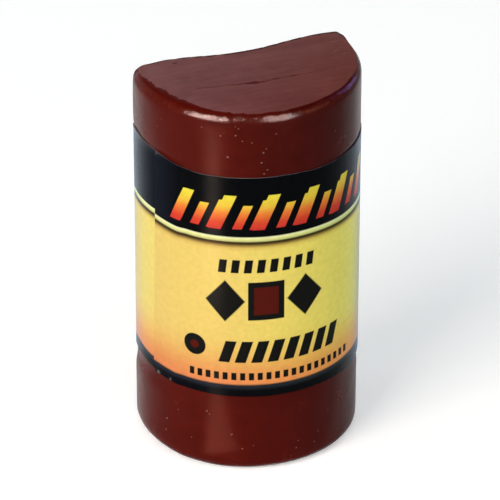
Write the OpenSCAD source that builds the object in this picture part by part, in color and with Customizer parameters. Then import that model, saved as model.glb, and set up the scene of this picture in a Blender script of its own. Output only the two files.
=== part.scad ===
// Furniture repair wax stick: a half-round bar of soft wax, cast lying in a trough,
// with a printed film wrapped once round its waist and lapped over its own end.
// It stands on its base, with the round front towards -Y and the poured rear towards +Y.

/* [Wax stick] */
// Width across the round front
stick_w = 23.1; // [18:0.1:30]
// Height as it stands
stick_h = 41.6; // [38:0.1:60]
// Distance from the round front's centre line back to the rear's flat shoulders
rear_reach = 3.5; // [1:0.1:5]
// Depth of the hollow that the cooling wax leaves down the rear, between its shoulders
rear_hollow = 0.95; // [0.2:0.05:1.5]

/* [Rounded edges] */
// Rounding of the top rim
top_rim_r = 0.95; // [0.4:0.05:2]
// Rounding of the base rim
base_rim_r = 1.35; // [0.4:0.05:2.5]
// Rounding of the worn edge down the left of the rear
left_edge_r = 1.2; // [0.4:0.05:2]
// Rounding of the crisp edge down the right of the rear
right_edge_r = 0.35; // [0.2:0.05:2]

/* [Label] */
// Height of the wrap label
label_h = 25.4; // [16:0.1:27]
// Height of the label's lower edge above the base
label_lift = 9.15; // [3:0.05:10]
// Thickness of the printed film
film_t = 0.12; // [0.08:0.01:0.25]
// Thickness of the glue between the film and what it sticks to
glue_t = 0.03; // [0.02:0.01:0.06]
// Angle of the free end, from the middle of the front round to the left
seam_angle = 75.4; // [60:0.1:90]
// Length of film that the free end laps over
lap_len = 3; // [1:0.1:8]
// Gap between the covered end and the step in the film above it
end_gap = 0.1; // [0.05:0.05:0.4]
// Length of the step by which the film climbs over its covered end
step_len = 0.3; // [0.2:0.05:1]

/* [Hidden] */
$fn = 180;

wax_colour = "#4d1811";
film_colour = "#f6d97d";

// How far a cutting shape runs past what it cuts
overrun = 1;
// The rear edges' rounding is this much fuller than a tangent one, so that it meets each face at a line
edge_ease_share = 0.01;
// Part of the rear that the hollow takes up
hollow_share = 0.7;

// The round front is part of a circle of this radius about the Z axis of the section
front_r = stick_w / 2;
half_chord = sqrt(pow(front_r, 2) - pow(rear_reach, 2));

// The rear sinks from each shoulder in two equal bends: one round a centre within the stick,
// and one round a centre far behind it
hollow_half = half_chord * hollow_share;
bend_r = (pow(hollow_half, 2) + pow(rear_hollow, 2)) / (4 * rear_hollow);
shoulder_centre = [hollow_half, rear_reach - bend_r];
sink_centre = [0, rear_reach - rear_hollow + bend_r];

// A layer of film and its glue
layer_t = glue_t + film_t;

// The covered end comes round the left edge and stops short of the middle of the front.
// The film's other end steps up over it and runs on to the left, as far as the seam.
covered_end_angle = seam_angle - arc_angle(lap_len);
step_top_angle = covered_end_angle - arc_angle(end_gap);
step_foot_angle = step_top_angle - arc_angle(step_len);

// The origin is midway between the front and the shoulders
section_shift = (front_r - rear_reach) / 2;

// Angle that a length takes up round the front
function arc_angle(length) = length / front_r * 180 / PI;

// Direction from the section's centre, by the angle from the middle of the front to the left
function front_dir(angle) = [-sin(angle), -cos(angle)];

// Radius that rounds a rear edge
function eased(r) = r * (1 + edge_ease_share);

// Centre of a rear edge's rounding, at its radius from the round front and from the shoulder.
// It is given for the right edge, and the left one mirrors it.
function edge_centre(r) = [sqrt(pow(front_r - r, 2) - pow(rear_reach - r, 2)), rear_reach - r];

// What lies outside the rounding of the right edge, on an outline that is grown all round
module edge_waste(r, grow) {
    centre = edge_centre(r);
    to_front = centre / norm(centre);
    to_rear = [0, 1];
    reach = r + grow + overrun;
    difference() {
        polygon([
            centre,
            centre + to_front * reach,
            centre + (to_front + to_rear) * reach,
            centre + to_rear * reach
        ]);
        translate(centre) circle(eased(r) + grow);
    }
}

// Both rear edges' waste
module edges_waste(grow) {
    edge_waste(right_edge_r, grow);
    mirror([1, 0]) edge_waste(left_edge_r, grow);
}

// What lies behind the bend that runs down from the right shoulder
module bend_waste(grow) {
    difference() {
        polygon([sink_centre, shoulder_centre, [shoulder_centre[0], sink_centre[1]]]);
        translate(shoulder_centre) circle(bend_r + grow);
    }
}

// What lies behind the poured rear: its shoulders, both bends from them, and the bend between
module rear_waste(grow) {
    reach = front_r + grow + overrun;
    translate([-reach, rear_reach + grow]) square([2 * reach, reach]);
    bend_waste(grow);
    mirror([1, 0]) bend_waste(grow);
    intersection() {
        translate(sink_centre) circle(bend_r - grow);
        polygon([sink_centre, shoulder_centre, [-shoulder_centre[0], shoulder_centre[1]]]);
    }
}

// The stick's section, grown all round
module section(grow) {
    difference() {
        circle(front_r + grow);
        rear_waste(grow);
        edges_waste(grow);
    }
}

// What lies outside the rounding of a rim, in the corner between +X and +Y
module rim_waste(r) {
    difference() {
        square(r + overrun);
        circle(r);
    }
}

// Half of the stick's side view, to be turned about the section's centre
module side_half() {
    difference() {
        square([front_r, stick_h]);
        translate([front_r - top_rim_r, stick_h - top_rim_r]) rim_waste(top_rim_r);
        translate([front_r - base_rim_r, base_rim_r]) mirror([0, 1]) rim_waste(base_rim_r);
    }
}

// The casting: the trough shapes its front and rims, and the poured surface sinks at the rear
module wax_body() {
    color(wax_colour)
    translate([0, section_shift, 0])
    difference() {
        rotate_extrude() side_half();
        translate([0, 0, -overrun]) linear_extrude(stick_h + 2 * overrun) {
            rear_waste(0);
            edges_waste(0);
        }
    }
}

// Part of the front's ring, between two radii and two angles
module ring_part(inner_r, outer_r, from_angle, to_angle) {
    reach = outer_r + overrun;
    intersection() {
        difference() {
            circle(outer_r);
            circle(inner_r);
        }
        polygon([[0, 0], front_dir(from_angle) * reach, front_dir(to_angle) * reach]);
    }
}

// The film seen from above: one turn, and the lap over its covered end
module wrap_plan() {
    difference() {
        union() {
            section(layer_t);
            ring_part(front_r / 2, front_r + 2 * layer_t, step_foot_angle, seam_angle);
        }
        section(glue_t);
        ring_part(
            front_r + layer_t, front_r + layer_t + glue_t,
            step_top_angle, seam_angle + arc_angle(overrun)
        );
        ring_part(
            front_r / 2, front_r + layer_t + glue_t,
            step_top_angle, covered_end_angle
        );
    }
}

// The wrap label, round the wax at a set height
module label_wrap() {
    color(film_colour)
    translate([0, section_shift, label_lift])
    linear_extrude(label_h) wrap_plan();
}

wax_body();
label_wrap();
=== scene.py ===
# A furniture repair wax stick: a half-round bar of soft brown filler wax, with a printed film
# wrapped round its waist. It stands on its base, with the round front towards -Y.
import math
from bisect import bisect_right
from random import Random

import bmesh
import bpy
from mathutils import Matrix, Quaternion, Vector, kdtree, noise


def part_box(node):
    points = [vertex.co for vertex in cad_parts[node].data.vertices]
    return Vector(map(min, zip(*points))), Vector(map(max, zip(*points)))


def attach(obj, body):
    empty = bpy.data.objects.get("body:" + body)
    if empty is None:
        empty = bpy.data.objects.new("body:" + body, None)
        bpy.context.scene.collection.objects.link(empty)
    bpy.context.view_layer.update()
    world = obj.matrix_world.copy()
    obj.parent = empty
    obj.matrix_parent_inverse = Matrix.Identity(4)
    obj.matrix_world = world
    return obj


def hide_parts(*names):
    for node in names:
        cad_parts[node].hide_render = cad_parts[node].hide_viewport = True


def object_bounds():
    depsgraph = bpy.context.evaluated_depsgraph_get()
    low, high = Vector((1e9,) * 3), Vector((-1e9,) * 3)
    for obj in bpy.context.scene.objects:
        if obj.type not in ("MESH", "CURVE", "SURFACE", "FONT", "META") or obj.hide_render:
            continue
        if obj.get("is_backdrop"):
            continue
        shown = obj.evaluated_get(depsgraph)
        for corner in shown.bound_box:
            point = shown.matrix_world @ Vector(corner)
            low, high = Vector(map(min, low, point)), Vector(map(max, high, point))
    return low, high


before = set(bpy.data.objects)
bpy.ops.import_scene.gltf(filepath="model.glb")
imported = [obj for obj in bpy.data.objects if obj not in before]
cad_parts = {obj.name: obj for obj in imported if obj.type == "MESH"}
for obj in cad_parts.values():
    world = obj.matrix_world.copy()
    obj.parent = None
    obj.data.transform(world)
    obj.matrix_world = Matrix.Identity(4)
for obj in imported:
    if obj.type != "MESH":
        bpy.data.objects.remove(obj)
cad_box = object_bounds()


# Camera: a long lens a little above the stick and to its left, as the photograph was taken.
# The image is 500 pixels square.
camera_target = Vector((0.000373, 0.003881, 0.01977))
camera_distance = 0.4216
camera_turn, camera_rise = -21.07, 29.63
camera_roll = Quaternion((0, 0, 1), 0.0024)
camera_lens = 293.7


def way_out(turn, rise):
    """The way out from the stick, by degrees to the right of its front and degrees up."""
    turn, rise = math.radians(turn), math.radians(rise)
    return Vector((
        math.sin(turn) * math.cos(rise), -math.cos(turn) * math.cos(rise), math.sin(rise)
    ))


camera_back = way_out(camera_turn, camera_rise)
camera = bpy.data.objects.new("camera", bpy.data.cameras.new("camera"))
camera.data.sensor_width = 36
camera.data.lens = camera_lens
camera.location = camera_target + camera_back * camera_distance
camera.rotation_mode = "QUATERNION"
camera.rotation_quaternion = (-camera_back).to_track_quat("-Z", "Y") @ camera_roll
camera.data.clip_start = 0.01
camera.data.clip_end = 20
bpy.context.scene.collection.objects.link(camera)
bpy.context.scene.camera = camera
bpy.context.scene.view_settings.view_transform = "Standard"


# Studio: a plain pale floor in a white room. Rays from the camera see the white as white, and the
# floor keeps the stick's shadow.
floor_size = 6
floor_colour = (0.78, 0.78, 0.78, 1)
floor_glow = 0.35
room_light = 0.5
room_tint = (0.93, 1, 1.05, 1)
ceiling_rise = (0.5, 0.85)
ceiling_white = 0.1


def link_piece(name, mesh):
    """A new piece in the scene, made of this mesh."""
    piece = bpy.data.objects.new(name, mesh)
    bpy.context.scene.collection.objects.link(piece)
    return piece


def empty_material(name):
    """A material with nothing in it yet, its nodes and its links."""
    material = bpy.data.materials.new(name)
    material.use_nodes = True
    material.node_tree.nodes.clear()
    return material, material.node_tree.nodes, material.node_tree.links


def add_node(nodes, kind, **settings):
    """A new node of this kind, with these settings."""
    made = nodes.new(kind)
    for key, value in settings.items():
        setattr(made, key, value)
    return made


floor_shape = bmesh.new()
bmesh.ops.create_grid(floor_shape, x_segments=1, y_segments=1, size=floor_size / 2)
floor_mesh = bpy.data.meshes.new("floor")
floor_shape.to_mesh(floor_mesh)
floor_shape.free()
floor = link_piece("floor", floor_mesh)
floor_material, nodes, links = empty_material("pale_floor")
output = add_node(nodes, "ShaderNodeOutputMaterial")
plain = add_node(nodes, "ShaderNodeBsdfDiffuse")
plain.inputs["Color"].default_value = floor_colour
glow = add_node(nodes, "ShaderNodeEmission")
glow.inputs["Strength"].default_value = floor_glow
both = add_node(nodes, "ShaderNodeAddShader")
links.new(plain.outputs[0], both.inputs[0])
links.new(glow.outputs[0], both.inputs[1])
path = add_node(nodes, "ShaderNodeLightPath")
seen = add_node(nodes, "ShaderNodeMixShader")
links.new(path.outputs["Is Camera Ray"], seen.inputs[0])
links.new(plain.outputs[0], seen.inputs[1])
links.new(both.outputs[0], seen.inputs[2])
links.new(seen.outputs[0], output.inputs["Surface"])
floor.data.materials.append(floor_material)
floor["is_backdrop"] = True

# The room lights the stick softly and evenly. In reflections its ceiling is dimmer than its walls.
world = bpy.data.worlds.new("white_room")
bpy.context.scene.world = world
world.use_nodes = True
nodes, links = world.node_tree.nodes, world.node_tree.links
nodes.clear()
output = add_node(nodes, "ShaderNodeOutputWorld")
soft = add_node(nodes, "ShaderNodeBackground")
soft.inputs["Strength"].default_value = room_light
soft.inputs["Color"].default_value = room_tint
white = add_node(nodes, "ShaderNodeBackground")
path = add_node(nodes, "ShaderNodeLightPath")
way = add_node(nodes, "ShaderNodeTexCoord")
height = add_node(nodes, "ShaderNodeSeparateXYZ")
ceiling = add_node(nodes, "ShaderNodeMapRange")
links.new(way.outputs["Generated"], height.inputs[0])
links.new(height.outputs["Z"], ceiling.inputs[0])
for socket, value in zip(ceiling.inputs[1:], (*ceiling_rise, 1, ceiling_white)):
    socket.default_value = value
in_gloss = add_node(nodes, "ShaderNodeMath", operation="MAXIMUM")
links.new(ceiling.outputs[0], in_gloss.inputs[0])
not_gloss = add_node(nodes, "ShaderNodeMath", operation="SUBTRACT")
not_gloss.inputs[0].default_value = 1
links.new(path.outputs["Is Glossy Ray"], not_gloss.inputs[1])
links.new(not_gloss.outputs[0], in_gloss.inputs[1])
links.new(in_gloss.outputs[0], white.inputs["Strength"])
sees_camera = add_node(nodes, "ShaderNodeMath", operation="MAXIMUM")
sees_any = add_node(nodes, "ShaderNodeMath", operation="MAXIMUM")
seen = add_node(nodes, "ShaderNodeMixShader")
links.new(path.outputs["Is Camera Ray"], sees_camera.inputs[0])
links.new(path.outputs["Is Glossy Ray"], sees_camera.inputs[1])
links.new(sees_camera.outputs[0], sees_any.inputs[0])
links.new(path.outputs["Is Transmission Ray"], sees_any.inputs[1])
links.new(sees_any.outputs[0], seen.inputs[0])
links.new(soft.outputs[0], seen.inputs[1])
links.new(white.outputs[0], seen.inputs[2])
links.new(seen.outputs[0], output.inputs["Surface"])


# Lamps: a soft key from the left front. The windows that shine on the rolled rims, and the cards
# lying on the table that draw a soft upright band, are seen in reflections only.
lamp_aim = Vector((0, 0.002, 0.02))


def add_lamp(name, turn, rise, distance, size, watts, colour, shine_only=False):
    """A soft box facing the stick, that far out from it. It is never seen itself."""
    data = bpy.data.lights.new(name, "AREA")
    data.shape = "RECTANGLE"
    data.size, data.size_y = size
    data.energy = watts
    data.color = colour
    lamp = bpy.data.objects.new(name, data)
    out = way_out(turn, rise)
    lamp.location = lamp_aim + out * distance
    lamp.rotation_mode = "QUATERNION"
    lamp.rotation_quaternion = (-out).to_track_quat("-Z", "Y")
    lamp.visible_camera = False
    lamp.visible_diffuse = not shine_only
    bpy.context.scene.collection.objects.link(lamp)
    return lamp


add_lamp("key_lamp", -60, 35, 0.8, (0.4, 0.4), 5, (1, 0.93, 0.86))
add_lamp("left_window", -61, 30, 0.7, (0.3, 0.7), 140, (1, 0.92, 0.86), shine_only=True)
add_lamp("front_window", 10.8, 28, 0.7, (0.34, 0.7), 76, (0.95, 0.98, 0.95), shine_only=True)
add_lamp("warm_window", 48, 26, 0.7, (0.18, 0.3), 2.5, (1, 0.45, 0.2), shine_only=True)
add_lamp("blue_window", 104, 30, 0.7, (0.25, 0.45), 4, (0.35, 0.3, 1), shine_only=True)
card_height = 0.0005
card_colour = (1, 0.66, 0.46)
card_lie = Quaternion((0, 0, 1), math.radians(-56)) @ Quaternion((1, 0, 0), math.pi)
for name, turn, distance, size, watts in (
    ("near_card", -47, 0.021, (0.005, 0.018), 0.0032),
    ("far_card", -53.5, 0.064, (0.014, 0.042), 0.052),
):
    card = add_lamp(name, turn, 0, distance, size, watts, card_colour, shine_only=True)
    card.location.z = card_height
    card.rotation_quaternion = card_lie


# Wax stick: one casting of soft filler wax, reddish brown right through. It cooled lying in a
# half-round trough, which shaped its front and its rolled rims, and its poured face sank as it set.
# It is modelled in millimetres about the centre line of its round front.
wax_low, wax_high = (Vector(corner) * 1000 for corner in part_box("wax_body"))
front_r = (wax_high.x - wax_low.x) / 2
stick_h = wax_high.z
centre_y = wax_low.y + front_r
to_frame = Matrix.Scale(0.001, 4) @ Matrix.Translation((0, centre_y, 0))
rear_reach = 3.5
sink_depth = 0.98
sink_middle = 0.4
sink_flat = 0.6
sink_left, sink_right = 8.0, 8.3
front_steps = 32
rear_steps = 12

# Rounding of each rim, by (degrees to the right of the front, radius) on its way round
base_rim_rs = (
    (-120, 1.6), (-100, 1.8), (-75, 1.7), (-60, 1.25), (-35, 1.1), (-10, 1.3), (10, 1.3), (25, 1.1),
    (45, 0.8), (120, 0.85),
)
top_rim_rs = (
    (-120, 1.35), (-75, 1.2), (-58, 0.9), (-44, 0.9), (-36, 1.2), (-28, 1.5), (-20, 1.2),
    (-13, 1.0), (-4, 1.2), (3, 1.1), (20, 1.0), (55, 0.9), (95, 0.6), (120, 0.6),
)
top_rear_r = 0.16
base_rear_r = 0.4
left_edge_r = 1.2
right_edge_r = 0.35
rounding_steps = 4
label_middle = 22
ring_heights = (3, 6, 9, label_middle, 34, 36.5, 39, stick_h)
end_rings = (0.97, 0.82, 0.6)
end_face_area = 100
smoothings = 3
skin_grain = 0.24
half_chord = math.sqrt(front_r**2 - rear_reach**2)
front_turn = math.pi + 2 * math.atan2(rear_reach, half_chord)

# A subdivided ring shrinks a little, so the ring starts that much larger
ring_growth = 6 / (4 + 2 * math.cos(front_turn / front_steps))
edge_x, edge_y = half_chord * ring_growth, rear_reach * ring_growth


def only(kind, geom):
    """The vertices, edges or faces among what an operator hands back."""
    return [part for part in geom if isinstance(part, kind)]


def applied(piece):
    """The piece's mesh with its modifiers carried out."""
    ready = piece.evaluated_get(bpy.context.evaluated_depsgraph_get())
    return bpy.data.meshes.new_from_object(ready)


def eased(value, low, high):
    """A soft step from nothing at the low value to one at the high value."""
    share = min(max((value - low) / (high - low), 0), 1)
    return share * share * (3 - 2 * share)


def stepped(value, stations):
    """The value's place between (at, result) stations."""
    for (here, a), (there, b) in zip(stations, stations[1:]):
        if value < there:
            return a + (b - a) * max(value - here, 0) / (there - here)
    return stations[-1][1]


def sink_at(x):
    """How far the poured face has sunk there."""
    half = (sink_right if x > sink_middle else sink_left) - sink_flat
    share = min(max(abs(x - sink_middle) - sink_flat, 0) / half, 1)
    return sink_depth * (1 + math.cos(math.pi * share)) / 2


# The section: the trough's arc, and the poured line with the sink between its shoulders
shape = bmesh.new()
left_edge = shape.verts.new((-edge_x, edge_y, 0))
bmesh.ops.spin(
    shape, geom=[left_edge], cent=(0, 0, 0), axis=(0, 0, 1),
    angle=front_turn, steps=front_steps, use_merge=False,
)
ends = [vert for vert in shape.verts if len(vert.link_edges) == 1]
chord = shape.edges.new(ends)
poured = bmesh.ops.subdivide_edges(shape, edges=[chord], cuts=rear_steps - 1)
for vert in only(bmesh.types.BMVert, poured["geom_inner"]):
    vert.co.y -= sink_at(vert.co.x)
section = bmesh.ops.contextual_create(shape, geom=shape.edges[:])["faces"]

# The bar, in lifts that keep its rims crisp when it is subdivided
level = 0
for height in ring_heights:
    lifted = bmesh.ops.extrude_face_region(shape, geom=section)["geom"]
    bmesh.ops.translate(shape, verts=only(bmesh.types.BMVert, lifted), vec=(0, 0, height - level))
    if level > 0:
        bmesh.ops.delete(shape, geom=section, context="FACES_ONLY")
    section = only(bmesh.types.BMFace, lifted)
    level = height
bmesh.ops.recalc_face_normals(shape, faces=shape.faces[:])

# Each rim and rear edge has its own rounding. A rear edge's comes out a little fuller than it is
# set, so it is set to a share of its radius.
nearly = 0.01
edge_share = 0.86
fullest_r = max(r for _, r in base_rim_rs + top_rim_rs)
weight = shape.edges.layers.float.new("bevel_weight_edge")
for edge in shape.edges:
    a, b = (vert.co for vert in edge.verts)
    middle = (a + b) / 2
    upright = abs(a.z - b.z) > nearly
    turn = math.degrees(math.atan2(middle.x, -middle.y))
    at_rear = middle.y > edge_y - sink_depth - nearly and middle.xy.length < front_r * 0.99
    rounding = 0
    if upright and abs(a.y - edge_y) < nearly / 10:
        rounding = edge_share * (left_edge_r if a.x < 0 else right_edge_r)
    elif not upright and middle.z < nearly:
        rounding = base_rear_r if at_rear else stepped(turn, base_rim_rs)
    elif not upright and middle.z > stick_h - nearly:
        rounding = top_rear_r if at_rear else stepped(turn, top_rim_rs)
    edge[weight] = rounding / fullest_r
form = link_piece("wax_form", bpy.data.meshes.new("wax_form"))
shape.to_mesh(form.data)
shape.free()
rims = form.modifiers.new("rims", "BEVEL")
rims.limit_method = "WEIGHT"
rims.width = fullest_r
rims.segments = rounding_steps
rims.profile = 0.5
rims.use_clamp_overlap = False
form.data = applied(form)
form.modifiers.clear()

# Rings inside both ends keep them flat up to their rims
shape = bmesh.new()
shape.from_mesh(form.data)
for end_face in [face for face in shape.faces if face.calc_area() > end_face_area]:
    to_heart = Matrix.Translation(-end_face.calc_center_median())
    for shrink in end_rings:
        bmesh.ops.inset_region(shape, faces=[end_face], thickness=0)
        bmesh.ops.scale(
            shape, verts=end_face.verts[:], vec=(shrink, shrink, 1), space=to_heart
        )
shape.to_mesh(form.data)
shape.free()
smooth = form.modifiers.new("smooth", "SUBSURF")
smooth.levels = smooth.render_levels = smoothings
form.data = applied(form)
form.modifiers.clear()

# The line that the label follows: the outline of the form at the label's middle, from the middle of
# the front round to the right
shape = bmesh.new()
shape.from_mesh(form.data)
cut = bmesh.ops.bisect_plane(
    shape, geom=shape.verts[:] + shape.edges[:] + shape.faces[:],
    plane_co=(0, 0, label_middle), plane_no=(0, 0, 1),
)
outline = sorted(
    (vert.co.xy.copy() for vert in only(bmesh.types.BMVert, cut["geom_cut"])),
    key=lambda at: math.atan2(at.x, -at.y) % math.tau,
)
shape.free()

# An even, fine skin on the form
wax = link_piece("wax_stick", form.data.copy())
even = wax.modifiers.new("even", "REMESH")
even.mode = "VOXEL"
even.voxel_size = skin_grain
fitted = wax.modifiers.new("fitted", "SHRINKWRAP")
fitted.target = form
fitted.wrap_method = "NEAREST_SURFACEPOINT"
wax.data = applied(wax)
wax.modifiers.clear()
bpy.data.objects.remove(form)

# Marks on the skin: the shrinkage crack, a nick and scratches on the top, by (x, y, half width,
# depth), and chips by (degrees to the right of the front, height). What stands proud has a depth
# below zero.
top = stick_h
crack = (
    (-6.71, -3.56, 0.05, 0.03), (-4.82, -3.91, 0.07, 0.08), (-3.45, -3.94, 0.08, 0.09),
    (-2.71, -4.24, 0.08, 0.1), (-1.95, -4.27, 0.07, 0.08), (-1.56, -4.31, 0.14, 0.12),
    (-1.0, -4.40, 0.24, 0.18), (-0.55, -4.50, 0.22, 0.18), (-0.1, -4.60, 0.1, 0.1),
    (0.8, -4.50, 0.06, 0.06), (1.3, -4.42, 0.1, 0.1), (1.65, -4.42, 0.1, 0.1),
    (2.0, -4.41, 0.07, 0.06), (2.8, -4.4, 0.07, 0.06), (3.2, -4.39, 0.1, 0.1),
    (3.6, -4.4, 0.09, 0.09), (4.0, -4.42, 0.05, 0.04), (5.04, -4.45, 0.05, 0.03),
    (7.08, -4.21, 0.05, 0.02),
)
nick = ((-6.95, 2.3, 0.12, 0.1), (-6.6, 2.36, 0.1, 0.06))
scratches = (
    ((9.1, -1.0), (9.6, -0.55)), ((9.85, -1.7), (10.25, -1.35)), ((10.75, -2.8), (11.0, -2.4)),
    ((9.5, 1.1), (10.1, 1.25)), ((6.2, -6.3), (6.9, -6.1)), ((-8.2, -1.2), (-7.5, -1.35)),
)
chips = (
    (-43.6, 39.78), (-33.8, 39.10), (-26.4, 40.23), (-24.9, 40.02), (-26.4, 39.23), (-30.4, 36.82),
    (-23.0, 38.64), (-18.3, 38.47), (-11.2, 37.72), (-12.6, 37.30), (-13.6, 36.19), (-10.6, 35.35),
    (-12.4, 34.93), (-6.2, 39.28), (29.1, 37.64), (42.5, 35.08), (-41.5, 6.91), (-39.9, 6.62),
    (-28.4, 4.41), (-22.8, 2.77), (-17.1, 3.12), (7.0, 2.96), (19.5, 3.23), (5.9, 2.11),
    (16.9, 2.10), (34.1, 6.64), (35.1, 5.62), (38.6, 5.55), (-58.0, 6.1), (-66.0, 4.4),
    (-50.0, 3.3), (-71.0, 38.2),
)
chip_sizes = (0.07, 0.12)
stray_chips = 90
stray_sizes = (0.06, 0.12)
stray_from = 62
chip_depth, chip_end_depth = -0.03, -0.02
stroke_step = 0.04
split_margins = (0.3, 0.12)
rng = Random(7)
marks = []


def add_stroke(points, strength, dark):
    """Points along a stroke through (place, half width, depth) stations."""
    for (here, half_a, depth_a), (there, half_b, depth_b) in zip(points, points[1:]):
        count = max(int((there - here).length / stroke_step), 1)
        for step in range(count + 1):
            share = step / count
            marks.append((
                here.lerp(there, share), half_a + (half_b - half_a) * share,
                depth_a + (depth_b - depth_a) * share, min(strength, 0.45 + abs(depth_a) * 5), dark,
            ))


def on_top(stations, widened=1):
    """The places of (x, y, half width, depth) stations on the top."""
    return [(Vector((x, y, top)), half * widened, depth) for x, y, half, depth in stations]


add_stroke(on_top(crack, 1.4), 1, True)
add_stroke(on_top(nick), 0.8, True)
for start_at, end_at in scratches:
    add_stroke(on_top(((*start_at, 0.07, 0.03), (*end_at, 0.05, 0.02))), 0.22, False)
for turn, height in chips:
    turn = math.radians(turn)
    at = Vector((math.sin(turn) * front_r, -math.cos(turn) * front_r, height))
    size = rng.uniform(*chip_sizes)
    aslant = Vector((math.cos(turn), math.sin(turn), rng.uniform(-0.6, 0.9)))
    lean = aslant * size * rng.uniform(0.2, 1.1)
    chip = ((at, size, chip_depth), (at + lean, size * 0.7, chip_end_depth))
    add_stroke(chip, rng.uniform(0.3, 0.7), False)

shape = bmesh.new()
shape.from_mesh(wax.data)
shape.normal_update()

# More chips, scattered over the sides and the rear
shape.verts.ensure_lookup_table()
for _ in range(stray_chips):
    vert = shape.verts[rng.randrange(len(shape.verts))]
    turn = math.degrees(math.atan2(vert.co.x, -vert.co.y))
    size = rng.uniform(*stray_sizes)
    strength = rng.uniform(0.2, 0.6)
    if abs(turn) > stray_from and 0.5 < vert.co.z < top - 0.5:
        marks.append((vert.co.copy(), size, chip_depth, strength, False))
near_mark = kdtree.KDTree(len(marks))
for index, mark in enumerate(marks):
    near_mark.insert(mark[0], index)
near_mark.balance()

# The skin is split finer round the marks
for margin in split_margins:
    close = set()
    for vert in shape.verts:
        _, index, away = near_mark.find(vert.co)
        if away < marks[index][1] + margin:
            close.add(vert)
    edges = [edge for edge in shape.edges if edge.verts[0] in close and edge.verts[1] in close]
    bmesh.ops.subdivide_edges(shape, edges=edges, cuts=1, use_grid_fill=True)
shape.normal_update()


# Depths of the waist under the film and of the slow waves, and how far the wax swells out
waist_depth, wave_depth = 0.11, 0.025
swell_left, swell_right, swell_below = 0.09, 0.11, 0.085


def lumps(place):
    """Soft lumps that stand between none and two high, and one on average."""
    return 1 + noise.noise(place)


def wave_at(at):
    """How far the skin lies below the form, in slow waves and, at the left, under the film."""
    waist = waist_depth * eased(-at.x, 8, 11)
    waist = waist * eased(at.z, 7.5, 9) * (1 - eased(at.z, 34.8, 36))
    return waist + wave_depth * lumps(at * 0.14 + Vector((4.1, 0.7, 2.3)))


def swell_at(at):
    """How far the wax stands out above and below the label, which holds it in."""
    left = swell_left * eased(at.z, 33.5, 38) * eased(-at.x, 7, 11)
    right = swell_right * eased(at.z, 34.1, 34.9) * eased(at.x, 4, 8)
    below = swell_below * eased(abs(at.x), 7, 11) * (1 - eased(at.z, 6.5, 8.8))
    return (left + right + below) * (1 - eased(at.y, 1.5, 3.2) * (1 - eased(-at.x, 8, 10)))


def left_share(at):
    """How far round to the left the point is, from the middle of the front to the left side."""
    return eased(-math.atan2(at.x, -at.y), math.radians(-6), math.radians(42))


# The skin moves in by waves, by its grain, by the wear on its shoulders and by the marks, and out
# where it swells. Under the top rim the right side stands squarer, within a half width. Next to the
# base it moves only sideways, so that the base stays flat.
shoulder_drop = 0.15
square_out = 0.55
square_limit = 11.56
base_flat = 0.3
rolled = shape.verts.layers.float.new("rolled")
dull = shape.verts.layers.float.new("dull")
pale = shape.verts.layers.float.new("pale")
dark = shape.verts.layers.float.new("dark")
rear_edge_shade = shape.verts.layers.float.new("rear_edge_shade")
matt = shape.verts.layers.float.new("matt")
moves = []
for vert in shape.verts:
    # Which part of the skin it is on
    at, out = vert.co, vert.normal
    lefts = left_share(at)
    inward = front_r - at.xy.length
    shoulder = 1.1 + 1.7 * lefts
    face = eased(out.z, 0.93, 0.995)
    rim = eased(out.z, 0.1, 0.5) * (1 - eased(inward, 1.2, shoulder + 1)) if at.z > top / 2 else 0
    behind = eased(out.y, 0.6, 0.9)

    # Waves, swelling and grain
    uneven = 0.015 + 0.02 * face + 0.03 * behind
    depth = wave_at(at) + uneven * lumps(at * 0.55) + 0.3 * uneven * lumps(at * 1.3)
    depth -= swell_at(at) * (1 - face)
    depth += 0.02 * rim * lumps(at * 0.9) + 0.02 * rim * lumps(at * 2.2)

    # Wear on the top's shoulders
    to_poured = rear_reach - sink_at(at.x) - at.y + 3 * (1 - eased(-at.x, 6.5, 10))
    worn = max(1 - min(inward, to_poured) / shoulder, 0) ** 1.5
    drop = shoulder_drop * (0.25 + 0.75 * lefts) * worn if at.z >= top / 2 else 0

    # The mark it lies on
    _, index, away = near_mark.find(at)
    _, half, mark_depth, strength, is_dark = marks[index]
    share = eased(half - away, 0, half * 0.8)
    depth += mark_depth * share
    vert[dark if is_dark else pale] = share * strength

    # The squarer side at the right
    square = max(min(square_out, square_limit - at.x), 0) * eased(at.x, 8, 10.5)
    square = square * eased(at.y, -1, 3.2) * eased(at.z, 35.5, 39.5)
    moves.append((vert, out * -depth + Vector((square, 0, -drop * eased(out.z, 0, 0.8)))))
for vert, move in moves:
    vert.co += move if vert.co.z > base_flat else Vector((move.x, move.y, 0))
shape.normal_update()
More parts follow.
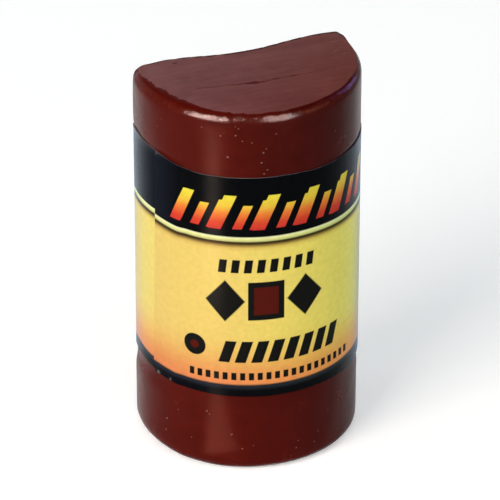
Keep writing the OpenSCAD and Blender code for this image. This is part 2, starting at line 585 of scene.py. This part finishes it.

# Finishes that the material reads: where the top rolls over and where it is dull, with a painted
# sheen on the dull face, and the painted dark line of shade along the rear edge and the matt line
# between the two. The dull bloom starts this far in from the side, by (degrees to the right of the
# front, distance).
face_starts = (
    (-108, 0.3), (-102, 0.45), (-94, 0.9), (-76, 1.4), (-57, 1.3), (-47, 1.05), (-38, 0.9),
    (-18, 0.74), (-8, 0.67), (3, 0.7), (24, 0.76), (37, 0.7), (47, 0.66), (53, 0.6), (57, 0.47),
    (63, 0.38), (75, 0.1),
)
for vert in shape.verts:
    at, out = vert.co, vert.normal
    if at.z > top / 2:
        turn = math.degrees(math.atan2(at.x, -at.y))
        ragged = 0.22 * noise.noise(Vector((at.x * 0.5, at.y * 1.6, 1)))
        ragged += 0.12 * noise.noise(Vector((at.x, at.y * 4, 1)))
        inward = front_r - at.xy.length + ragged * (0.5 + 0.5 * left_share(at))
        starts = stepped(turn, face_starts)
        vert[dull] = eased(inward, starts - 0.25, starts + 0.25) * eased(out.z, 0.7, 0.9)
        vert[rolled] = eased(out.z, 0.1, 0.5) * (1 - vert[dull])
        # Painted shade: a dark line along the rear edge, where the top turns down, and round the rear left
        # corner
        corner = eased(abs(turn), 100, 107) * eased(at.z, top - 1.6, top - 1.0) * (1 - vert[dull])
        to_poured = rear_reach - sink_at(at.x) - at.y
        rear_line = (1 - eased(to_poured, 0.25, 0.5)) * eased(at.z, top - 0.4, top - 0.1)
        vert[rear_edge_shade] = max(rear_line * (0.75 + 0.5 * noise.noise(Vector((at.x * 0.8, 7, 1)))), corner)
        vert[matt] = max(vert[rear_edge_shade], eased(out.z, 0.7, 0.9) * (1 - vert[dull]))
        vert[dull] *= 1 - vert[rear_edge_shade]
shape.to_mesh(wax.data)
shape.free()
wax.data.transform(to_frame)
wax.data.shade_smooth()

# The wax: mottled red brown and glossy, with painted shade that darkens it from left to right and a
# little towards the top. It is darker and gritty where it rolls over the top rim, and painted light and
# shade make that rim lighter at the left and darker at the right. The top has a dull greyish bloom in
# fine streaks, whose pale colour is a painted sheen, lighter at the left and towards the rear, a matt
# line round it and a painted dark line of shade along its rear edge. The chips are pale, and the crack
# and the nick are painted darker red, as shade inside them.
wax_painted_lit = (0.087, 0.005, 0.0022, 1)
wax_painted_shade = (0.05, 0.0028, 0.0016, 1)
wax_rim_lit_left = (0.078, 0.0042, 0.0022, 1)
wax_rim_shaded_right = (0.04, 0.0018, 0.0012, 1)
wax_grit = (0.14, 0.022, 0.007, 1)
wax_rear_edge_shade = (0.055, 0.012, 0.003, 1)
wax_bloom_sheen_left = (0.171, 0.061, 0.061, 1)
wax_bloom_sheen_right = (0.131, 0.032, 0.026, 1)
wax_bloom_sheen_rear = (0.3, 0.2, 0.2, 1)
wax_chip = (0.42, 0.25, 0.2, 1)
wax_crack_shade = (0.055, 0.005, 0.0035, 1)
most_shine = 0.35
wax_material, nodes, links = empty_material("soft_wax")


def fed(socket, value):
    """Sets a socket, or links what feeds it."""
    if isinstance(value, bpy.types.NodeSocket):
        links.new(value, socket)
    else:
        socket.default_value = value


def sum_node(operation, *values, clamp=False):
    """A Math node of these values and sockets, and its result."""
    made = add_node(nodes, "ShaderNodeMath", operation=operation, use_clamp=clamp)
    for socket, value in zip(made.inputs, values):
        fed(socket, value)
    return made.outputs[0]


def times(first, second):
    """One value times the other."""
    return sum_node("MULTIPLY", first, second)


def mixed(share, first, second, blend="MIX"):
    """The first colour, and the second as far as the share goes."""
    made = add_node(nodes, "ShaderNodeMix", data_type="RGBA", blend_type=blend)
    fed(made.inputs[0], share)
    fed(made.inputs[6], first)
    fed(made.inputs[7], second)
    return made.outputs[2]


def ranged(value, low, high, new_low, new_high):
    """The value brought from one range into another, and held there."""
    made = add_node(nodes, "ShaderNodeMapRange")
    for socket, number in zip(made.inputs, (value, low, high, new_low, new_high)):
        fed(socket, number)
    return made.outputs[0]


def speckle(place, scale, detail, roughness=0.5):
    """Soft random spots, between nought and one."""
    made = add_node(nodes, "ShaderNodeTexNoise")
    fed(made.inputs["Vector"], place)
    made.inputs["Scale"].default_value = scale
    made.inputs["Detail"].default_value = detail
    made.inputs["Roughness"].default_value = roughness
    return made.outputs[0]


def share_of(name):
    """How far a mark or finish that the mesh carries holds at each point."""
    return add_node(nodes, "ShaderNodeAttribute", attribute_name=name).outputs["Fac"]


def stretched(place, scale):
    """The place, scaled along each axis."""
    made = add_node(nodes, "ShaderNodeMapping")
    fed(made.inputs["Vector"], place)
    made.inputs["Scale"].default_value = scale
    return made.outputs[0]


def shine(least, gain, power):
    """A specular level that rises where the surface turns away, as a handled skin's does."""
    away = add_node(nodes, "ShaderNodeLayerWeight")
    away.inputs["Blend"].default_value = 0.5
    rise = sum_node("MULTIPLY_ADD", sum_node("POWER", away.outputs["Facing"], power), gain, least)
    return sum_node("MINIMUM", rise, most_shine)


output = add_node(nodes, "ShaderNodeOutputMaterial")
surface = add_node(nodes, "ShaderNodeBsdfPrincipled")
place = add_node(nodes, "ShaderNodeTexCoord").outputs["Object"]
in_mm = stretched(place, (1000, 1000, 1000))
streaks = speckle(stretched(place, (160, 2600, 1000)), 1, 4, 0.6)
mottle = speckle(in_mm, 0.45, 5, 0.62)
broad = speckle(in_mm, 0.07, 2)
pores = speckle(in_mm, 3.2, 4, 0.6)
split = add_node(nodes, "ShaderNodeSeparateXYZ")
links.new(in_mm, split.inputs[0])
across, to_rear, up = split.outputs["X"], split.outputs["Y"], split.outputs["Z"]
glossy = sum_node("SUBTRACT", 1, sum_node("MAXIMUM", share_of("matt"), share_of("dark")))
# Where the dull bloom lies, which also carries a painted sheen
bloom_and_sheen_share = sum_node("MULTIPLY_ADD", share_of("dull"), 3, times(mottle, 2.0))
bloom_and_sheen_share = sum_node("SUBTRACT", bloom_and_sheen_share, 2.4, clamp=True)

# Its colour
# Painted shade: the wax's colour darkens from left to right, and a little towards the top, as the light
# falls off
slanted = sum_node("MULTIPLY_ADD", up, 0.12, across)
colour = mixed(ranged(slanted, -6.6, 11.4, 0, 1), wax_painted_lit, wax_painted_shade)
rim_grit = times(ranged(speckle(in_mm, 3.2, 4, 0.7), 0.45, 0.7, 0, 0.6), glossy)
# Painted light and shade on the rolled rim: lighter at the left and darker at the right
wax_rim_light_and_shade = mixed(ranged(across, -6, 5, 0, 1), wax_rim_lit_left, wax_rim_shaded_right)
colour = mixed(share_of("rolled"), colour, mixed(rim_grit, wax_rim_light_and_shade, wax_grit))
# Painted shade along the rear edge
colour = mixed(share_of("rear_edge_shade"), colour, wax_rear_edge_shade)
# Painted sheen: the bloom's pale greyish colour stands in for the reflection that its lowered gloss leaves
# out, lighter at the left and towards the rear
veil = ranged(streaks, 0.35, 0.65, 0.84, 1)
bloom_and_sheen = mixed(ranged(across, -9, 9, 0, 1), wax_bloom_sheen_left, wax_bloom_sheen_right)
bloom_and_sheen = mixed(ranged(to_rear, -6, 5, 0, 0.14), bloom_and_sheen, wax_bloom_sheen_rear)
colour = mixed(times(bloom_and_sheen_share, veil), colour, bloom_and_sheen)
tone = times(ranged(mottle, 0.3, 0.7, 0.9, 1.1), ranged(broad, 0.35, 0.65, 0.93, 1.07))
toned = add_node(nodes, "ShaderNodeVectorMath", operation="SCALE")
links.new(colour, toned.inputs[0])
links.new(tone, toned.inputs["Scale"])
colour = mixed(share_of("pale"), toned.outputs[0], wax_chip)
# Painted shade: the crack and the nick are darker red inside
colour = mixed(share_of("dark"), colour, wax_crack_shade)
links.new(colour, surface.inputs["Base Color"])

# Its gloss, which is least at the foot and on the bloom, and greatest where it turns away
rough = ranged(mottle, 0.3, 0.7, 0.22, 0.28)
blotches = ranged(speckle(in_mm, 1.1, 4, 0.7), 0.4, 0.62, -0.13, 0.0)
rough = sum_node("MULTIPLY_ADD", share_of("rolled"), blotches, rough)
rough = sum_node("MULTIPLY_ADD", bloom_and_sheen_share, 0.25, rough)
links.new(sum_node("MULTIPLY_ADD", share_of("dark"), 0.4, rough), surface.inputs["Roughness"])
at_foot = ranged(across, -9, 9, 0.28, 0.75)
handled = times(ranged(across, -9, 9, 1.3, 0.5), ranged(up, 3, 14, at_foot, 1))
gain = times(times(handled, glossy), sum_node("SUBTRACT", 1, bloom_and_sheen_share))
least = sum_node("MULTIPLY_ADD", glossy, 0.03, 0.005)
least = times(least, sum_node("MULTIPLY_ADD", bloom_and_sheen_share, -0.97, 1))
links.new(shine(least, gain, 4.2), surface.inputs["Specular IOR Level"])
surface.inputs["Specular Tint"].default_value = (1, 0.88, 0.86, 1)
surface.inputs["Subsurface Weight"].default_value = 0.12
surface.inputs["Subsurface Radius"].default_value = (1, 0.3, 0.2)
surface.inputs["Subsurface Scale"].default_value = 0.0006

# Its grain, rougher on the rolled rim
relief = add_node(nodes, "ShaderNodeBump")
relief.inputs["Strength"].default_value = 0.35
relief.inputs["Distance"].default_value = 0.00004
grit = times(speckle(in_mm, 2.4, 2), sum_node("MULTIPLY_ADD", share_of("rolled"), 2.0, 0.3))
raised = sum_node("MULTIPLY_ADD", pores, 0.7, grit)
links.new(sum_node("MULTIPLY_ADD", streaks, bloom_and_sheen_share, raised), relief.inputs["Height"])
links.new(relief.outputs[0], surface.inputs["Normal"])
links.new(surface.outputs[0], output.inputs["Surface"])
wax.data.materials.clear()
wax.data.materials.append(wax_material)
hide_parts("wax_body")
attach(wax, "root")


# Label: one strip of thin printed film, glued once round the stick, from the seam at the left to
# the right and round the back. Its free end at the seam laps over the strip's other end, which was
# glued down first.
film_t = 0.12
glue_t = 0.03
lap_len = 3.0
end_gap = 0.1
step_len = 1.1
label_low, label_high = 9.15, 34.55
seam_top, seam_foot = -72.1, -75.1
film_columns, film_rows = 330, 60
foot_rise, head_rise, lines_rise = 0.72, 0.68, 0.62
pucker = 0.008
crisp_angle = 0.7

# Distance round the outline at each of its points
reach = [0]
for here, there in zip(outline, outline[1:] + outline[:1]):
    reach.append(reach[-1] + (there - here).length)
girth = reach[-1]
start = math.atan2(outline[0].x, -outline[0].y) * front_r


def on_outline(along):
    """The point that far round the outline from the middle of the front, and its way out."""
    along = (along - start) % girth
    step = min(bisect_right(reach, along), len(outline)) - 1
    here, there = outline[step], outline[(step + 1) % len(outline)]
    side = there - here
    out = Vector((side.y, -side.x)).normalized()
    return here + side * (along - reach[step]) / side.length, out


def seam_at(share):
    """Where the free end lies, at a share of the label's height, with its lower corner worn off."""
    worn = 0.35 * max(1 - share / 0.045, 0)
    return math.radians(seam_foot + (seam_top - seam_foot) * share) * front_r + worn


shape = bmesh.new()
bmesh.ops.create_grid(shape, x_segments=film_columns, y_segments=film_rows, size=0.5)
print_map = shape.loops.layers.uv.new("print")
scuff_and_glint = shape.verts.layers.float.new("scuff_and_glint")

# Scuffs, and painted glints at the seam's top corner and along the foot near the seam, by (distance
# round to the right from the middle of the front, height, size)
scuffs_and_glints = (
    (-14.35, 35.2, 0.17), (-14.3, 9.5, 0.2), (-12.6, 9.35, 0.14), (-8.4, 9.05, 0.12),
    (9.9, 27.5, 0.3), (-1.2, 30.9, 0.22),
    (19, 9.9, 0.4), (26, 35.2, 0.4), (37, 9.9, 0.35), (44, 35.2, 0.45), (30, 22, 0.3),
)

# The cut edges wander a little, rise towards the back and don't quite meet at the seam, and the
# printed lines follow them. The film follows the wax, and puckers by a hair between its edges.
places = {}
for vert in shape.verts:
    # Where it lies along the strip, and how far the film has climbed there to lap over its own end
    along_share, up_share = vert.co.x + 0.5, vert.co.y + 0.5
    seam = seam_at(up_share)
    covered_end = girth + seam + lap_len
    along = seam + (covered_end - seam) * along_share
    climb = 1 - eased(along, seam + lap_len + end_gap, seam + lap_len + end_gap + step_len)
    round_back = eased(along, 12, covered_end - 4)

    # The cut edges
    foot = label_low + 0.15 * eased(-along, 2, 15) - 0.35 * eased(along, 2, 12) * (1 - round_back)
    foot += foot_rise * round_back + 0.03 * noise.noise(Vector((along * 1.1, 0, 3)))
    at_seam = 0.18 * eased(-along, 11, 14.5)
    at_seam -= 0.25 * eased(along, covered_end - 7, covered_end - 3.5)
    foot += at_seam
    head = label_high + head_rise * round_back
    head += 0.03 * noise.noise(Vector((along * 0.9, 0, 9)))
    last_rise = 0.4 * eased(along, covered_end - 11, covered_end - 7)
    head += last_rise - 0.08 * max(along - covered_end + 8, 0)
    head += 0.15 * max(-9.5 - along, 0) - 0.1 * max(along - covered_end + 3.2, 0)
    head -= 0.18 * eased(along, 0, 4) * (1 - round_back)
    height = foot + (head - foot) * up_share

    # How far the printed lines are lifted
    line_lift = 0.3 * eased(-along, 11, 16) - 0.25 * eased(along, 1, 9) * (1 - round_back)
    high_up = eased(height, 14, 28)
    line_lift = line_lift * high_up + lines_rise * round_back + at_seam * (1 - high_up)
    places[vert] = (along, height - line_lift)
    vert[scuff_and_glint] = max(
        1 - eased(math.hypot(along - x, (height - y) * 1.6), size * 0.3, size)
        for x, y, size in scuffs_and_glints
    )

    # The way out of the wax there, softened round its corners, and how far out the film lies
    at, _ = on_outline(along)
    ways_out = (on_outline(along + nudge)[1] for nudge in (-0.15, 0, 0.15))
    out = sum(ways_out, Vector((0, 0))).normalized()
    lift = glue_t + (film_t + glue_t) * climb - wave_at(Vector((at.x, at.y, height)))
    to_edge = min(height - foot, head - height)
    puckers = pucker * lumps(Vector((along * 0.8, height * 0.5, 5)))
    lift += puckers * (1 - 0.6 * eased(to_edge, 0, 2))
    lift -= pucker * round_back
    vert.co = (at.x + out.x * lift, at.y + out.y * lift, height)
for face in shape.faces:
    for loop in face.loops:
        loop[print_map].uv = places[loop.vert]
bmesh.ops.recalc_face_normals(shape, faces=shape.faces[:])
front_middle = Vector((0, -front_r, label_middle))
front_face = min(
    shape.faces, key=lambda face: (face.calc_center_median() - front_middle).length
)
if front_face.normal.y > 0:
    bmesh.ops.reverse_faces(shape, faces=shape.faces[:])
label = link_piece("wrap_label", bpy.data.meshes.new("wrap_label"))
shape.to_mesh(label.data)
shape.free()

# Two slots tell the printed face from the back and the cut edges, until that is an attribute
for name in ("printed", "bare"):
    label.data.materials.append(bpy.data.materials.new(name))
thick = label.modifiers.new("thick", "SOLIDIFY")
thick.thickness = film_t
thick.offset = 1
thick.use_even_offset = True
thick.material_offset = 1
thick.material_offset_rim = 1
label.data = applied(label)
label.modifiers.clear()

# The film's faces are smooth and its edges crisp. The back and the cut edges show the bare core.
shape = bmesh.new()
shape.from_mesh(label.data)
for face in shape.faces:
    face.smooth = True
for edge in shape.edges:
    edge.smooth = edge.calc_face_angle(0) < crisp_angle
shape.to_mesh(label.data)
shape.free()
core = label.data.attributes.new("core", "FLOAT", "FACE")
for face in label.data.polygons:
    core.data[face.index].value = face.material_index
    face.material_index = 0
label.data.materials.clear()
label.data.transform(to_frame)

# The print: a black band along the top with slanted bars that run from yellow to red, a cream line
# with a soft shadow under it, a yellow field that turns orange towards its foot, rows of plain
# black shapes, and a black band along the bottom
ink = (0.0075, 0.0075, 0.006, 1)
swatch_ink = (0.085, 0.0085, 0.0045, 1)
scuff_and_glint_colour = (0.32, 0.3, 0.27, 1)
print_soft = 0.05
film_material, nodes, links = empty_material("printed_film")
output = add_node(nodes, "ShaderNodeOutputMaterial")
surface = add_node(nodes, "ShaderNodeBsdfPrincipled")
on_film = add_node(nodes, "ShaderNodeUVMap", uv_map="print").outputs[0]
split = add_node(nodes, "ShaderNodeSeparateXYZ")
links.new(on_film, split.inputs[0])
across, up = split.outputs["X"], split.outputs["Y"]


def ramp(value, stops):
    """A colour that follows the value through (value, colour) stops."""
    low, high = stops[0][0], stops[-1][0]
    made = add_node(nodes, "ShaderNodeValToRGB")
    links.new(ranged(value, low, high, 0, 1), made.inputs[0])
    elements = made.color_ramp.elements
    elements.remove(elements[1])
    elements[0].position, elements[0].color = 0, (*stops[0][1], 1)
    for at, colour in stops[1:]:
        elements.new((at - low) / (high - low)).color = (*colour, 1)
    return made.outputs[0]


def within(value, middle, half):
    """One where the value lies within half of the middle, with a soft edge."""
    away = sum_node("ABSOLUTE", sum_node("SUBTRACT", value, middle))
    inside = sum_node("SUBTRACT", half, away)
    return sum_node("MULTIPLY_ADD", inside, 1 / print_soft, 0.5, clamp=True)


def over(*masks):
    """The masks laid over each other."""
    whole = masks[0]
    for mask in masks[1:]:
        whole = sum_node("MAXIMUM", whole, mask)
    return whole


def leaning(slope, level):
    """Distance across, on a print that leans to the right as it rises."""
    return sum_node("MULTIPLY_ADD", sum_node("SUBTRACT", up, level), -slope, across)


def bar(middle, level, width, height):
    """An upright bar."""
    return times(within(across, middle, width / 2), within(up, level, height / 2))


def lozenge(middle, level, width, height, crisp=14):
    """A diamond, as wide and high as given."""
    aside = sum_node("ABSOLUTE", sum_node("SUBTRACT", across, middle))
    above = sum_node("ABSOLUTE", sum_node("SUBTRACT", up, level))
    away = sum_node("DIVIDE", aside, width / 2)
    away = sum_node("ADD", away, sum_node("DIVIDE", above, height / 2))
    return sum_node("MULTIPLY", sum_node("SUBTRACT", 1, away), crisp, clamp=True)


def row(first, last, level, pitch, width, height, slope=0):
    """Like bars side by side, the first and last at the given places."""
    slid = leaning(slope, level)
    step = sum_node("WRAP", slid, first + pitch / 2, first - pitch / 2)
    inside = within(slid, (first + last) / 2, (last - first + width) / 2 + 0.1)
    return times(times(within(step, first, width / 2), within(up, level, height / 2)), inside)


def disc(middle, level, radius, crisp=16):
    """A round spot."""
    aside = sum_node("SUBTRACT", across, middle)
    above = sum_node("SUBTRACT", up, level)
    away = sum_node("SQRT", sum_node("ADD", times(aside, aside), times(above, above)))
    return sum_node("MULTIPLY", sum_node("SUBTRACT", radius, away), crisp, clamp=True)


# The bands and the field, which differ a little from left to right: painted light makes the field
# lighter towards the right, where the light falls off, and painted sheen makes it bluer towards its
# sides and turns the header's black bluish towards both sides
header = (0.0016, 0.0018, 0.0022)
field = ramp(up, (
    (9.0, (0.002, 0.002, 0.003)), (9.9, (0.003, 0.003, 0.004)), (10.15, (0.012, 0.015, 0.02)),
    (10.38, (0.02, 0.024, 0.032)), (10.5, (0.004, 0.004, 0.006)), (10.56, (0.3, 0.12, 0.05)),
    (10.64, (0.8, 0.26, 0.085)), (12.0, (0.81, 0.33, 0.092)), (13.5, (0.83, 0.455, 0.115)),
    (15.0, (0.845, 0.57, 0.14)), (16.6, (0.85, 0.62, 0.15)), (26.2, (0.85, 0.63, 0.15)),
    (26.6, (0.72, 0.5, 0.11)), (26.88, (0.32, 0.19, 0.045)), (27.04, (0.07, 0.04, 0.012)),
    (27.3, (0.02, 0.015, 0.008)), (27.36, (0.62, 0.6, 0.2)), (27.55, (0.75, 0.74, 0.28)),
    (27.8, (0.88, 0.88, 0.5)), (27.9, header), (36.0, header),
))
# Painted light and sheen across the field
sideways_painted_light = ramp(across, (
    (-14.0, (0.87, 0.86, 1.0)), (-6.0, (0.95, 0.95, 1.0)), (2.0, (1.06, 1.2, 1.0)),
    (9.0, (1.13, 1.42, 1.15)), (14.0, (1.13, 1.45, 1.6)), (40.0, (1.0, 1.1, 1.1)),
    (56.0, (0.87, 0.95, 1.15)),
))
film_colour = mixed(ranged(up, 27.3, 27.4, 1, 0.35), field, sideways_painted_light, "MULTIPLY")
# Painted sheen: the header's black turns bluish towards both sides
header_ink_and_sheen = ramp(across, (
    (-14.5, (0.003, 0.0042, 0.0085)), (-13.2, (0.0035, 0.0045, 0.0085)), (-11.0, header),
    (5.0, header), (9.5, (0.0012, 0.0022, 0.0062)), (30.0, (0.0012, 0.0022, 0.0062)),
))
film_colour = mixed(ranged(up, 27.87, 27.9, 0, 1), film_colour, header_ink_and_sheen)

# The black shapes in the field, and on the rear a block of ruled lines
rear_middle = 31.5
black = over(
    row(-6.6, 2.5, 24.45, 1.3, 0.78, 1.5, 0.12),
    lozenge(-6.35, 20.4, 4.2, 5.0), lozenge(2.0, 20.4, 4.2, 5.0), bar(-2.18, 20.4, 3.7, 4.4),
    disc(-9.6, 14.75, 1.25),
    row(-6.1, 5.5, 14.45, 1.66, 1.12, 2.5, 0.3),
    row(-9.9, 7.9, 11.55, 0.89, 0.52, 0.85),
    *(bar(rear_middle, level, 16.0, 0.35) for level in (20.5, 18.8, 17.1, 15.4)),
    lozenge(rear_middle, 23.6, 3.4, 3.4),
)
film_colour = mixed(black, film_colour, ink)
swatch = over(bar(-2.18, 20.4, 2.5, 3.2), disc(-9.6, 14.75, 0.5))
film_colour = mixed(swatch, film_colour, swatch_ink)

# The header's bars, tall and short by turns
header_bars = over(
    row(-11.0, 11.0, 30.6, 4.4, 1.25, 3.9, 0.42), row(-9.0, 10.8, 30.1, 4.4, 0.95, 2.7, 0.42),
    row(-7.35, 9.0, 30.35, 4.4, 0.55, 3.3, 0.42),
)
flame = ramp(up, (
    (28.4, (0.55, 0.028, 0.028)), (29.4, (0.66, 0.06, 0.025)), (30.4, (0.78, 0.2, 0.035)),
    (31.4, (0.8, 0.55, 0.05)), (32.8, (0.78, 0.72, 0.06)),
))
film_colour = mixed(header_bars, film_colour, flame)

# Mottled ink, scuffs with painted glints, and the bare core, painted lighter in places where it
# catches the light
grainy = speckle(on_film, 1.6, 4, 0.65)
mottled = add_node(nodes, "ShaderNodeVectorMath", operation="SCALE")
links.new(film_colour, mottled.inputs[0])
links.new(ranged(grainy, 0.3, 0.7, 0.94, 1.05), mottled.inputs["Scale"])
# Scuffs and painted glints, broken up by the grain
worn = times(share_of("scuff_and_glint"), ranged(grainy, 0.42, 0.55, 0, 1))
film_colour = mixed(worn, mottled.outputs[0], scuff_and_glint_colour)
# The bare core, painted lighter in places where its cut edges catch the light, and at the right, over the
# shaded gap under the film's top edge
core_with_glints = ramp(across, (
    (-15.5, (0.07, 0.06, 0.06)), (-14.4, (0.07, 0.06, 0.06)), (-13.6, (0.025, 0.022, 0.025)),
    (-10.0, (0.03, 0.026, 0.028)), (-8.2, (0.1, 0.085, 0.08)), (-3.5, (0.09, 0.075, 0.07)),
    (0.5, (0.03, 0.026, 0.03)), (9.0, (0.026, 0.025, 0.03)), (13.0, (0.07, 0.065, 0.07)),
))
film_colour = mixed(share_of("core"), film_colour, core_with_glints)
links.new(film_colour, surface.inputs["Base Color"])

# The film's gloss, with a bluish sheen where it turns away, stronger at the left
links.new(ranged(grainy, 0.3, 0.7, 0.2, 0.27), surface.inputs["Roughness"])
links.new(shine(0.022, 1.0, 6), surface.inputs["Specular IOR Level"])
surface.inputs["Specular Tint"].default_value = (0.64, 0.8, 1, 1)
turned_away = add_node(nodes, "ShaderNodeLayerWeight")
turned_away.inputs["Blend"].default_value = 0.5
sheen = sum_node("POWER", turned_away.outputs["Facing"], 4)
sheen = times(sheen, ranged(across, -12, 6, 1.7, 0.85))
links.new(sheen, surface.inputs["Sheen Weight"])
surface.inputs["Sheen Roughness"].default_value = 0.4
surface.inputs["Sheen Tint"].default_value = (0.45, 0.7, 1, 1)
relief = add_node(nodes, "ShaderNodeBump")
relief.inputs["Strength"].default_value = 0.15
relief.inputs["Distance"].default_value = 0.00002
links.new(grainy, relief.inputs["Height"])
links.new(relief.outputs[0], surface.inputs["Normal"])
links.new(surface.outputs[0], output.inputs["Surface"])
label.data.materials.append(film_material)
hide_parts("label_wrap")
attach(label, "root")

size = {"cad": [list(corner) for corner in cad_box], "visual": [list(corner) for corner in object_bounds()]}
